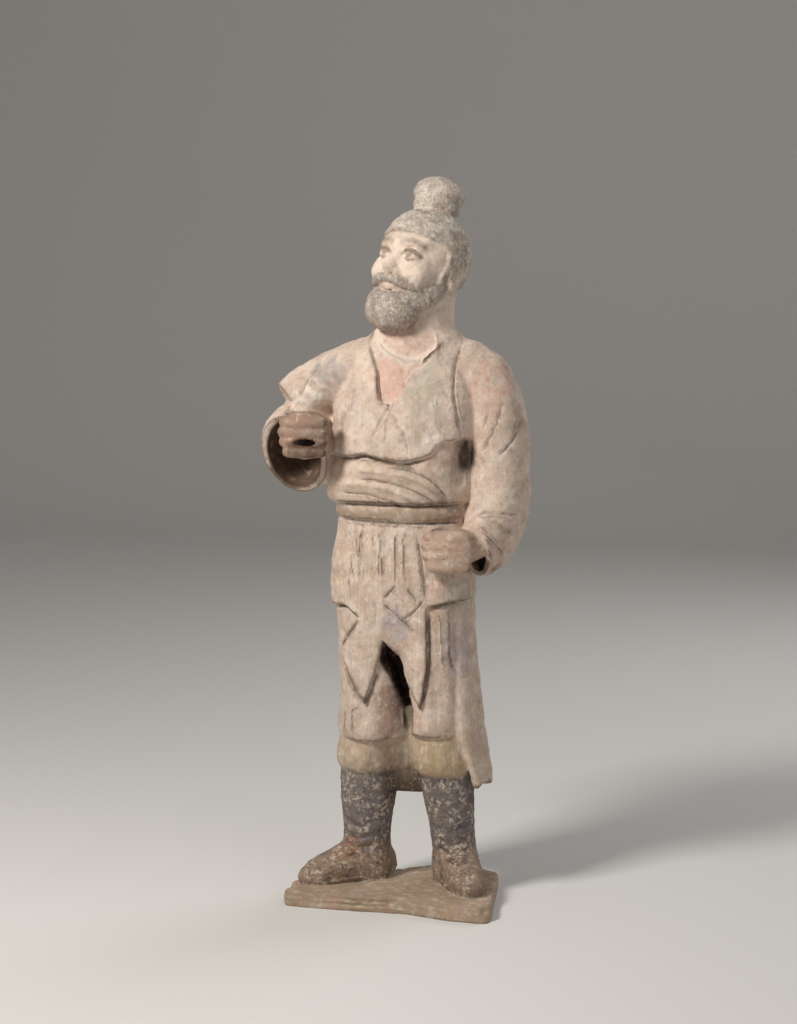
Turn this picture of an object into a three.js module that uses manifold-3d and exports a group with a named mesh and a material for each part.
// Painted pottery tomb figure: a bearded man in jacket, sash, robe and boots, one piece with its slab.
// Millimetres, +Z up. The figure faces -Y and its left hand is on the +X side.
// The origin lies on the slab's underside, between the boots.
import * as THREE from "three";
import { mergeVertices } from "three/addons/utils/BufferGeometryUtils.js";
import Module from "manifold-3d";

const wasm = await Module();
wasm.setup();

// Driving sizes
const HEIGHT = 486; // from the soles to the top of the hair knot
const SLAB_THICKNESS = 10;
const SLAB_CORNER = 7; // radius of the slab's corners
const CLOTH_STEP = 3; // how far one layer of cloth stands over the next
const ROBE_WALL = 6.5; // thickness of the robe's hanging back
const SLEEVE_WALL = 4; // thickness of the open sleeves
const LINE_WIDTH = 2.6; // incised fold lines
const LINE_DEPTH = 2.2;
const LINE_END_SHARE = 0.35; // a line thins out to this share of itself at its ends

// The figure's places and girths below are drawn for this height, and follow HEIGHT.
const DRAWN_HEIGHT = 486;
const K = HEIGHT / DRAWN_HEIGHT;
const REACH = 60; // blocks cut to a front outline reach this far before and behind the body

// Faceting
const AROUND_BODY = 22;
const AROUND_LIMB = 12;
const LINE_STEP = 20; // spacing of the points along an incised line

const at = (x, y, z) => new THREE.Vector3(x, y, z).multiplyScalar(K);
const signedPower = (value, power) => Math.sign(value) * Math.abs(value) ** power;

// A closed skin over rings of points, each ring turning anticlockwise round the way of travel.
// The rings of a sheet run out along one face and back along the other: its ends are closed straight across.
function skin(rings, sheet = false) {
  const count = rings[0].length;
  const points = rings.flat();
  const index = [];
  for (let ring = 0; ring + 1 < rings.length; ring++) {
    for (let i = 0; i < count; i++) {
      const a = ring * count + i;
      const b = ring * count + (i + 1) % count;
      index.push(a, b, b + count, a, b + count, a + count);
    }
  }
  for (const [first, atEnd] of [[0, false], [points.length - count, true]]) {
    const face = (a, b, c) => index.push(a, atEnd ? b : c, atEnd ? c : b);
    if (sheet) {
      for (let i = 0; i + 1 < count / 2; i++) {
        const across = count - 1 - i;
        face(first + i, first + i + 1, first + across);
        face(first + i + 1, first + across - 1, first + across);
      }
    } else {
      const middle = points.length;
      const ring = points.slice(first, first + count);
      points.push(ring.reduce((sum, p) => sum.add(p), new THREE.Vector3()).divideScalar(count));
      for (let i = 0; i < count; i++) face(middle, first + i, first + (i + 1) % count);
    }
  }
  const geometry = new THREE.BufferGeometry();
  geometry.setAttribute("position", new THREE.Float32BufferAttribute(points.flatMap((p) => p.toArray()), 3));
  geometry.setIndex(index);
  return geometry;
}

function solid(geometry) {
  geometry.deleteAttribute("normal");
  geometry.deleteAttribute("uv");
  const merged = mergeVertices(geometry, 1e-4);
  return new wasm.Manifold(new wasm.Mesh({
    numProp: 3,
    vertProperties: new Float32Array(merged.attributes.position.array),
    triVerts: new Uint32Array(merged.index.array),
  }));
}

const join = (...solids) => solids.flat().reduce((sum, next) => sum.add(next));

// A smooth reading of rows [position, value, value, ...] at any position between the first and the last.
function smooth(rows) {
  const width = rows[0].length - 1;
  const positions = rows.map((row) => row[0]);
  const values = rows.flatMap((row) => row.slice(1));
  const curve = new THREE.CubicInterpolant(positions, values, width);
  return (position) => Array.from(curve.evaluate(position));
}

// An upright form: rows of [z, x, y, half width, half depth, squareness], level ovals one above another,
// swollen outwards by grow.
function upright(rows, { levels, around = AROUND_BODY, grow = 0 }) {
  const read = smooth(rows);
  const bottom = rows[0][0];
  const top = rows[rows.length - 1][0];
  const rings = [];
  for (let level = 0; level <= levels; level++) {
    const z = THREE.MathUtils.lerp(bottom, top, level / levels);
    const [x, y, wide, deep, square] = read(z);
    const ring = [];
    for (let i = 0; i < around; i++) {
      const angle = (2 * Math.PI * i) / around;
      ring.push(at(
        x + (wide + grow) * signedPower(Math.sin(angle), 2 / square),
        y - (deep + grow) * signedPower(Math.cos(angle), 2 / square),
        z,
      ));
    }
    rings.push(ring);
  }
  return skin(rings);
}

// A limb: rows of [x, y, z, half width, half height] along a bending line, level across at its start.
function limb(rows, { steps, around = AROUND_LIMB }) {
  const curve = new THREE.CatmullRomCurve3(rows.map(([x, y, z]) => at(x, y, z)), false, "chordal");
  const girth = smooth(rows.map((row, i) => [i / (rows.length - 1), row[3], row[4]]));
  const side = new THREE.Vector3(0, 0, 1).cross(curve.getTangent(0));
  const rings = [];
  for (let step = 0; step <= steps; step++) {
    const t = step / steps;
    const centre = curve.getPoint(t);
    const along = curve.getTangent(t);
    side.addScaledVector(along, -side.dot(along)).normalize(); // carried on without a twist
    const up = new THREE.Vector3().crossVectors(along, side);
    const [wide, high] = girth(t);
    const ring = [];
    for (let i = 0; i < around; i++) {
      const angle = (2 * Math.PI * i) / around;
      ring.push(centre.clone()
        .addScaledVector(side, K * wide * Math.cos(angle))
        .addScaledVector(up, K * high * Math.sin(angle)));
    }
    rings.push(ring);
  }
  return skin(rings);
}

function ball([x, y, z], [wide, deep, high], { turn = null, around, levels }) {
  const geometry = new THREE.SphereGeometry(1, around, levels);
  geometry.rotateX(Math.PI / 2);
  geometry.scale(K * wide, K * deep, K * high);
  if (turn) geometry.applyQuaternion(turn);
  geometry.translate(...at(x, y, z).toArray());
  return geometry;
}

// A flat outline of [x, z] points seen from the front, as a block from y = front to y = back.
function block(outline, front, back) {
  const shape = new THREE.Shape(outline.map(([x, z]) => new THREE.Vector2(K * x, K * z)));
  const geometry = new THREE.ExtrudeGeometry(shape, { depth: K * (back - front), bevelEnabled: false });
  geometry.rotateX(Math.PI / 2);
  geometry.translate(0, K * back, 0);
  return solid(geometry);
}

// The slab is a board cut by hand, one corner drawn out under the right boot.
const SLAB_OUTLINE = [[-80, -47], [-28, -50], [8, -50], [38, -60], [69, -62], [58, 34], [46, 43], [8, 44],
  [-80, -16]];

function slab() {
  const corners = SLAB_OUTLINE.map(([x, y]) => new THREE.Vector2(K * x, K * y));
  const shape = new THREE.Shape();
  corners.forEach((corner, i) => {
    const before = corners.at(i - 1);
    const after = corners[(i + 1) % corners.length];
    const cut = Math.min(SLAB_CORNER, corner.distanceTo(before) / 2, corner.distanceTo(after) / 2);
    const enter = before.clone().sub(corner).setLength(cut).add(corner);
    const leave = after.clone().sub(corner).setLength(cut).add(corner);
    if (i === 0) shape.moveTo(enter.x, enter.y);
    else shape.lineTo(enter.x, enter.y);
    shape.quadraticCurveTo(corner.x, corner.y, leave.x, leave.y);
  });
  shape.closePath();
  const geometry = new THREE.ExtrudeGeometry(shape, {
    depth: SLAB_THICKNESS,
    bevelEnabled: false,
    curveSegments: 3,
  });
  geometry.translate(0, 0, -SLAB_THICKNESS);
  return solid(geometry);
}

// Boots: [z, x, y, half width, half depth, squareness] for the shafts, and the feet from heel to toe.
const BOOTS = [
  {
    shaft: [[-2, -31, 8, 16, 15, 2], [14, -31, 8, 16.5, 16, 2], [36, -31.5, 7, 16.5, 17, 2.1],
      [58, -30, 6, 19, 19, 2.2], [88, -29, 3, 19, 20, 2.2]],
    foot: [[-17, 24, 6, 8, 7], [-24, 17, 9, 13.5, 12], [-39, 3, 9.5, 14.5, 16], [-53, -9, 8, 14, 12.5],
      [-64, -18, 6, 12.5, 9.5], [-71, -24, 4.5, 8.5, 7.5]],
  },
  {
    shaft: [[-2, 31, 8, 15, 15, 2], [16, 31, 8, 15, 15.5, 2], [40, 29.5, 6, 15.5, 16.5, 2.1],
      [60, 27, 5, 17.5, 18.5, 2.2], [88, 25, 2, 18.5, 20, 2.2]],
    foot: [[24, 26, 6, 8, 7], [27, 18, 9, 13, 12], [36, 0, 9.5, 14, 16], [43, -15, 8, 13, 12.5],
      [48, -27, 6, 11.5, 9.5], [51, -35, 4.5, 8, 7.5]],
  },
];

function boots() {
  return BOOTS.map(({ shaft, foot }) => join(
    solid(upright(shaft, { levels: 4, around: 14 })),
    solid(limb(foot, { steps: 7, around: 10 })),
  ));
}

// Full trousers: the ends that show over the boots, and a web of cloth between them.
const TROUSER_ENDS = [
  [[79, -29.5, 2, 18.5, 20.5, 2.2], [84, -30, 1, 19.5, 22, 2.2], [106, -28.5, 0, 19.5, 21.5, 2.2]],
  [[78, 24.5, 1, 18.5, 20.5, 2.2], [84, 24, 0, 20, 22.5, 2.2], [110, 22, -1, 18.5, 21.5, 2.2]],
];
const TROUSER_WEB = [[70, -3, 8, 8, 5, 2], [78, -3, 6, 15, 8, 2], [96, -3, 2, 14, 11, 2],
  [125, -3, 2, 12, 12, 2]];

// Under the robe each leg is wrapped in cloth down to a hem above the boot.
const LEG_WRAPS = [
  [[101, -26, -1, 21, 22.5, 2.2], [104, -25.5, -1, 22.5, 24.5, 2.2], [128, -25, -1.5, 23, 26, 2.2],
    [160, -24, -1.5, 24, 28, 2.2], [190, -23, -1, 25, 29.5, 2.2], [212, -21, 0, 27, 29, 2.2]],
  [[105, 19.5, -2, 18.5, 22.5, 2.2], [108, 19.5, -2, 19.5, 24.5, 2.2], [128, 19.5, -2, 20.5, 26, 2.2],
    [160, 19, -1.5, 22, 28, 2.2], [190, 18, -1, 23, 29.5, 2.2], [212, 16, 0, 25, 29, 2.2]],
];
const HIPS = [[166, -2, 2, 42, 26, 2.2], [180, -3, 1, 44.5, 29.5, 2.3], [200, -4, 0, 46, 31, 2.3],
  [225, -4, 0, 46, 31, 2.3], [245, -3, 0, 43.5, 30.5, 2.2], [262, -2, 0, 42, 30, 2.2]];

const legsAndHips = (grow, levels) => join(
  LEG_WRAPS.map((rows) => solid(upright(rows, { levels, around: 14, grow }))),
  solid(upright(HIPS, { levels, grow })),
);

// The robe's back hangs free behind the legs, open in front and below.
const ROBE_BACK = [[68, 5, 5, 52, 38, 2.1], [82, 4.5, 5, 51.5, 37.5, 2.1], [110, 3, 4, 49.5, 36, 2.1],
  [165, 0.5, 2, 46.5, 33.5, 2.2], [215, -2, 1, 45.5, 32, 2.2], [240, -2.5, 0, 44, 31, 2.2]];
const ROBE_BACK_FROM = 0.225 * Math.PI; // angle of its front edge on the left side
const ROBE_BACK_TO = 1.44 * Math.PI; // and on the right side
const ROBE_FOLDS = 7;
const ROBE_FOLD_DEPTH = 1.6; // at the hem, fading out upwards

function robeBack() {
  const read = smooth(ROBE_BACK);
  const levels = 4;
  const steps = 18;
  const bottom = ROBE_BACK[0][0];
  const top = ROBE_BACK.at(-1)[0];
  const rings = [];
  for (let level = 0; level <= levels; level++) {
    const z = THREE.MathUtils.lerp(bottom, top, level / levels);
    const [x, y, wide, deep] = read(z);
    const foldDepth = ROBE_FOLD_DEPTH * (1 - level / levels);
    const place = (i, inset) => {
      const share = i / steps;
      const angle = THREE.MathUtils.lerp(ROBE_BACK_FROM, ROBE_BACK_TO, share);
      const fold = foldDepth * Math.sin(2 * Math.PI * ROBE_FOLDS * share) * Math.sin(Math.PI * share);
      return at(
        x + (wide + fold) * Math.sin(angle),
        y - (deep + fold) * Math.cos(angle),
        z,
      ).add(new THREE.Vector3(-Math.sin(angle), Math.cos(angle), 0).multiplyScalar(inset));
    };
    const outer = [];
    const inner = [];
    for (let i = 0; i <= steps; i++) {
      outer.push(place(i, 0));
      inner.unshift(place(i, ROBE_WALL));
    }
    rings.push([...outer, ...inner]);
  }
  return solid(skin(rings, true));
}

// The robe's front is tucked up into two hanging points, with the legs showing between them.
const APRON_OUTLINE = [[-60, 262], [-60, 196], [-38, 197], [-27, 189], [-42, 166], [-25, 129], [-17, 152],
  [-12, 174], [-2, 161], [4, 145], [14, 127], [19, 156], [19, 197], [28, 200], [60, 203], [60, 262]];
const BACK_PANEL_OUTLINE = [[-60, 262], [-60, 196], [60, 203], [60, 262]];
const PANEL_SEAM = 4; // y of the side where the front and back panels meet
const FORK_OUTLINE = [[-12, 172], [-5, 162], [0, 146], [1, 95], [-3, 95], [-6, 130], [-12, 156]];
const FORK_DEPTH = 2; // y of the fork's floor, deep between the legs
const BELT = [[255, -2.5, 0, 45.5, 33, 2.2], [257, -2.5, 0, 46.5, 34, 2.2], [264, -3, 0, 47, 34.5, 2.2],
  [267, -3, 0, 45, 33, 2.2]];

function robe() {
  const body = legsAndHips(0, 4);
  const over = legsAndHips(CLOTH_STEP, 4);
  const apron = over.intersect(join(
    block(APRON_OUTLINE, -REACH, PANEL_SEAM),
    block(BACK_PANEL_OUTLINE, PANEL_SEAM, REACH),
  ));
  return join(
    body.subtract(block(FORK_OUTLINE, -REACH, FORK_DEPTH)),
    apron,
    robeBack(),
    TROUSER_ENDS.map((rows) => solid(upright(rows, { levels: 3, around: 14 }))),
    solid(upright(TROUSER_WEB, { levels: 3, around: 12 })),
    solid(upright(BELT, { levels: 2 })),
  );
}

// Upper body: the belly swells over the belt, wrapped in a sash, under a short jacket.
const TORSO = [[255, -3, 0, 42, 30, 2.2], [268, -4, -1, 46, 33, 2.2], [285, -4, -2, 48, 35, 2.2],
  [300, -3, -2, 47.5, 35, 2.2], [315, -1, -2, 48, 34.5, 2.3], [335, 1, -1.5, 49, 33.5, 2.3],
  [350, 2.5, -1, 47, 31, 2.2], [362, 3.5, 0, 41.5, 28.5, 2.1], [372, 4.5, 0, 35, 26, 2],
  [388, 5, 1, 20, 19, 2]];
const SASH = [[264, -4, -1, 46, 34, 2.2], [268, -5, -1, 50, 36.5, 2.2], [275, -5.5, -1.5, 51.5, 38, 2.2],
  [288, -5, -2, 49.5, 37.5, 2.2], [300, -3.5, -2, 47, 35.5, 2.2]];
const JACKET_HEM = [[-70, 299], [-31, 299], [-24, 301], [-15, 299], [-5, 297], [4, 296], [14, 298],
  [22, 301], [27, 308], [31, 310], [70, 310]];
const NECK_OPENING = [[-24, 374], [-15, 356], [-12, 336], [-5, 334], [7, 352], [25, 370], [14, 398],
  [-12, 398]];
const NECK = [[358, 4, 3, 28, 25, 2], [374, 4.5, 1, 26.5, 24.5, 2], [392, 5, 1, 25.5, 24, 2],
  [412, 8, 2, 24, 23, 2]];

// The jacket's hem stands clear of the sash beside the left arm, over a deep recess.
const HEM_RECESS = [[22, -44, 304, 2, 2], [34, -38, 302, 5, 5], [50, -28, 300, 6, 7]];

function torso() {
  const body = solid(upright(TORSO, { levels: 8 }));
  const jacket = solid(upright(TORSO, { levels: 8, grow: CLOTH_STEP }))
    .intersect(block([...JACKET_HEM, [70, 420], [-70, 420]], -REACH, REACH))
    .subtract(block(NECK_OPENING, -REACH, 0));
  return join(
    body,
    jacket,
    solid(upright(SASH, { levels: 4 })),
    solid(upright(NECK, { levels: 3, around: 14 })),
  ).subtract(solid(limb(HEM_RECESS, { steps: 2, around: 8 })));
}

// Right arm: a short wide upper sleeve, and an open hanging sleeve below the raised fist.
const RIGHT_UPPER = [[-4, 0, 364, 22, 19], [-32, 0, 356, 23, 20.5], [-54, -1, 347, 22, 20],
  [-71, -4, 338, 20, 19], [-80, -8, 331, 17, 17.5]];
const RIGHT_SLEEVE = [[-50, 20, 334, 10, 10], [-60, 11, 323, 17, 20], [-68, 0, 312, 22, 27],
  [-73, -14, 303, 23, 30], [-74, -27, 299, 22, 28]];
const RIGHT_ELBOW = [-70, 2, 322];
const RIGHT_FOREARM = [[-66, -2, 318, 13, 13], [-64, -24, 315, 12, 12], [-62, -34, 313, 12, 12]];
const RIGHT_FIST = [-62, -42, 312];

// Left arm: the hand rests on the hip, and the sleeve hangs open under the wrist.
const LEFT_UPPER = [[10, 0, 362, 22, 19], [31, 0, 359, 22, 20.5], [49, 1, 349, 22, 21], [61, 3, 322, 21, 21],
  [64, 5, 292, 20.5, 20], [63, 3, 270, 19.5, 20], [60, -8, 254, 17, 18], [54, -20, 245, 12, 13]];
const LEFT_SLEEVE = [[67, 12, 272, 16, 14], [64, 2, 254, 16, 21], [58, -12, 240, 13.5, 22.5],
  [55, -22, 236, 11.5, 20]];
const LEFT_WRIST = [[56, -16, 243, 11, 11], [46, -26, 239, 10.5, 11], [38, -32, 237, 10, 11]];
const LEFT_FIST = [35, -34, 236];

// What is left inside a sleeve when its wall is taken off, reaching out through its mouth.
function sleeveHollow(rows, from) {
  const wall = SLEEVE_WALL / K;
  const inside = rows.slice(from).map(([x, y, z, wide, high]) => [x, y, z, wide - wall, high - wall]);
  const [last, mouth] = inside.slice(-2);
  const beyond = mouth.map((value, i) => (i < 3 ? value + 0.5 * (value - last[i]) : value));
  inside[0] = inside[0].map((value, i) => (i < 3 ? value : 0.6 * value));
  return solid(limb([...inside, beyond], { steps: 3 }));
}

// A closed fist: its four fingers lie one above the other across the front, and the thumb over them.
const FINGER_PITCH = 7;
const FIST_ROWS = [[-17, 5, 0.4], [-15, 2, 0.82], [-7, -0.5, 1], [6, -0.5, 1], [14, 1, 0.86], [17, 4, 0.5]];

function fist([x, y, z], grip) {
  const rings = FIST_ROWS.map(([across, back, share]) => {
    const ring = [];
    for (let finger = 3; finger >= 0; finger--) {
      const height = FINGER_PITCH * (1.5 - finger);
      for (const [rise, out] of [[-2.9, 9.5], [0, 12.2], [2.9, 9.5]]) ring.push([-out, height + rise]);
    }
    for (const angle of [70, 35, 0, -35, -70].map(THREE.MathUtils.degToRad)) {
      ring.push([12 * Math.cos(angle), 15 * Math.sin(angle)]);
    }
    return ring.reverse().map(([out, height]) => at(x + across, y + back + share * out, z + share * height));
  });
  const thumb = [
    [x + 14, y + 1, z + 8, 4.5, 4.5],
    [x + 3, y - 5, z + 15, 4.8, 4.6],
    [x - 9, y - 6, z + 14, 3.8, 3.8],
  ];
  const hand = join(solid(skin(rings)), solid(limb(thumb, { steps: 3, around: 6 })));
  if (!grip) return hand;
  const hole = [[x - 1, y - 16, z - 3, 10, 3.8], [x + 1, y + 5, z - 3, 8, 3]];
  return hand.subtract(solid(limb(hole, { steps: 1, around: 8 })));
}

function arms() {
  const rightSleeve = join(
    solid(limb(RIGHT_UPPER, { steps: 4, around: 12 })),
    solid(ball(RIGHT_ELBOW, [17, 17, 19], { around: 10, levels: 6 })),
    solid(limb(RIGHT_SLEEVE, { steps: 5, around: 14 })),
  ).subtract(sleeveHollow(RIGHT_SLEEVE, 2));
  const leftSleeve = join(
    solid(limb(LEFT_UPPER, { steps: 7, around: 12 })),
    solid(limb(LEFT_SLEEVE, { steps: 4, around: 12 })),
  ).subtract(sleeveHollow(LEFT_SLEEVE, 1));
  return join(
    rightSleeve,
    solid(limb(RIGHT_FOREARM, { steps: 2, around: 10 })),
    fist(RIGHT_FIST, true),
    leftSleeve,
    solid(limb(LEFT_WRIST, { steps: 3, around: 10 })),
    fist(LEFT_FIST, false),
  );
}

// Head: held high and turned to the figure's right.
// Its own axes run from right to left, from front to back and from chin to crown.
const HEAD_AT = [8, 1, 427];
const HEAD_TURN = new THREE.Quaternion().setFromEuler(new THREE.Euler(
  THREE.MathUtils.degToRad(-16), THREE.MathUtils.degToRad(5), THREE.MathUtils.degToRad(-27), "ZYX"));
const HEAD_HALF = 37; // half of the head's height, chin to crown
const SMALL = { around: 8, levels: 5 }; // faceting of the small forms

const headPlace = (x, y, z) => {
  const turned = new THREE.Vector3(x, y, z).applyQuaternion(HEAD_TURN);
  return [HEAD_AT[0] + turned.x, HEAD_AT[1] + turned.y, HEAD_AT[2] + turned.z];
};
const headBall = (place, size, detail) => (
  solid(ball(headPlace(...place), size, { turn: HEAD_TURN, ...detail }))
);

function headForm(grow) {
  return join(
    headBall([0, 3, 6], [28 + grow, 31 + grow, 31 + grow], { around: 16, levels: 8 }),
    headBall([0, -5, -10], [23.5 + grow, 24 + grow, 27 + grow], { around: 14, levels: 5 }),
  );
}

// The hair is a smooth cap over the head's form. Two blocks free the face and the neck from it.
const FACE_BLOCK = { size: [3.2, 1.6, 2.4], place: [0, -0.97, -1.0], lean: -0.2 }; // in halves of the head
const NECK_BLOCK = { size: [3.2, 3.2, 1.1], place: [0, 0, -1.08], lean: 0 };

function headBlock({ size, place, lean }) {
  const geometry = new THREE.BoxGeometry(...size.map((share) => K * share * HEAD_HALF));
  geometry.translate(...place.map((share) => K * share * HEAD_HALF));
  geometry.applyQuaternion(new THREE.Quaternion().setFromAxisAngle(new THREE.Vector3(1, 0, 0), lean));
  geometry.applyQuaternion(HEAD_TURN);
  geometry.translate(...at(...HEAD_AT).toArray());
  return solid(geometry);
}

function hair() {
  const cap = headForm(2).subtract(headBlock(FACE_BLOCK)).subtract(headBlock(NECK_BLOCK));
  const knot = [
    headBall([-2, 4, 41], [16.5, 16.5, 12], { around: 14, levels: 5 }),
    headBall([-3, 5, 49.5], [17.5, 17.5, 12.5], { around: 14, levels: 7 }),
  ];
  return join(cap, knot);
}

function nose(eyeLine, noseBase) {
  const rows = [
    [0, -23, eyeLine + 5, 3, 2.5],
    [0, -28, noseBase + 7, 4, 3],
    [0, -30, noseBase + 3, 5.5, 3.5],
  ];
  const placed = rows.map(([x, y, z, wide, high]) => [...headPlace(x, y, z), wide, high]);
  return solid(limb(placed, { steps: 3, around: 8 }));
}

function head() {
  const eyeLine = 0;
  const noseBase = -HEAD_HALF * 0.38;
  const mouth = -HEAD_HALF * 0.58;
  const parts = [headForm(0), hair()];
  for (const side of [-1, 1]) {
    parts.push(
      headBall([side * 10, -23.5, eyeLine + 6], [10, 4, 3.2], SMALL), // brow
      headBall([side * 14, -19, noseBase], [8.5, 8, 8.5], SMALL), // cheek
      headBall([side * 27, 4, -6], [3.2, 6, 9.5], SMALL), // ear
      headBall([side * 7, -26.5, mouth + 3], [8.5, 4, 3], SMALL), // moustache
    );
  }
  parts.push(
    nose(eyeLine, noseBase),
    headBall([0, -18, -HEAD_HALF * 0.97], [19, 16, 16], { around: 14, levels: 8 }), // beard
  );
  return join(parts);
}

// Fold lines cut with a tool, drawn from the front as [x, z] points and cut into whatever lies nearest.
const FRONT_LINES = [
  [[43, 374], [39, 358], [40, 342], [43, 326], [43, 313]],
  [[-1, 338], [-9, 327], [-17, 311]],
  [[-5, 324], [-8, 309]],
  [[-29, 346], [-34, 327]],
  [[-25, 287], [-6, 285], [12, 280], [26, 270]],
  [[-30, 295], [-8, 294], [14, 290], [28, 282], [37, 270]],
  [[-45, 274], [-30, 275], [-14, 273], [6, 267]],
  [[-27, 189], [-34, 181], [-40, 171]],
  [[-38, 160], [-34, 149], [-25, 130]],
  [[13, 243], [17, 212], [19, 182], [19, 152]],
  [[-10, 197], [0, 188], [10, 177]],
  [[16, 198], [7, 190]],
  [[-9, 204], [-1, 213]],
  [[67, 333], [62, 318], [54, 300]],
  [[78, 325], [73, 310], [65, 297]],
  [[51, 258], [64, 260], [77, 258]],
  [[53, 246], [62, 238], [63, 226]],
  [[-59, 358], [-65, 347], [-70, 337]],
];

// The same for the back.
const BACK_LINES = [
  [[-20, 350], [-4, 320], [8, 305]],
  [[24, 352], [14, 326], [10, 306]],
  [[-22, 240], [-25, 200], [-27, 150]],
  [[4, 238], [4, 190], [6, 140], [8, 100]],
  [[26, 236], [30, 190], [34, 140]],
];

// way is 1 for lines seen from the front and -1 for lines seen from the back.
function carve(body, lines, way) {
  const mesh = new THREE.Mesh(toGeometry(body), new THREE.MeshBasicMaterial({ side: THREE.DoubleSide }));
  const ray = new THREE.Raycaster();
  const cutters = [];
  for (const line of lines) {
    const route = new THREE.CatmullRomCurve3(line.map(([x, z]) => at(x, 0, z)));
    const steps = Math.max(2, Math.round(route.getLength() / LINE_STEP));
    const hits = [];
    for (let step = 0; step <= steps; step++) {
      const from = route.getPointAt(step / steps).setY(-way * HEIGHT);
      ray.set(from, new THREE.Vector3(0, way, 0));
      const hit = ray.intersectObject(mesh)[0];
      if (hit) hits.push({ point: hit.point, normal: hit.face.normal.clone() });
    }
    const rings = hits.map(({ point, normal }, i) => {
      const next = hits[Math.min(i + 1, hits.length - 1)].point;
      const along = next.clone().sub(hits[Math.max(i - 1, 0)].point).normalize();
      const side = new THREE.Vector3().crossVectors(normal, along).normalize();
      const share = i === 0 || i === hits.length - 1 ? LINE_END_SHARE : 1;
      return [
        point.clone().addScaledVector(normal, LINE_DEPTH).addScaledVector(side, LINE_WIDTH * share),
        point.clone().addScaledVector(normal, LINE_DEPTH).addScaledVector(side, -LINE_WIDTH * share),
        point.clone().addScaledVector(normal, -LINE_DEPTH * share),
      ];
    });
    if (rings.length > 1) cutters.push(solid(skin(rings)));
  }
  return cutters.reduce((rest, cutter) => rest.subtract(cutter), body);
}

function toGeometry(body) {
  const { vertProperties, triVerts, numProp } = body.getMesh();
  const positions = [];
  for (let i = 0; i < vertProperties.length; i += numProp) positions.push(...vertProperties.slice(i, i + 3));
  const geometry = new THREE.BufferGeometry();
  geometry.setAttribute("position", new THREE.Float32BufferAttribute(positions, 3));
  geometry.setIndex(Array.from(triVerts));
  return geometry;
}

function figure() {
  const body = join(slab(), boots(), robe(), torso(), arms(), head());
  const carved = carve(carve(body, FRONT_LINES, 1), BACK_LINES, -1);
  const bySize = carved.decompose().sort((a, b) => b.volume() - a.volume());
  return bySize[0]; // crumbs that the tool cuts free fall away
}

const clay = new THREE.MeshStandardMaterial({ color: 0xb9a68c, roughness: 0.92, metalness: 0 });
const figureMesh = new THREE.Mesh(toGeometry(figure()), clay);
figureMesh.name = "figure";
figureMesh.position.z = SLAB_THICKNESS;

const group = new THREE.Group();
group.add(figureMesh);

export default group;
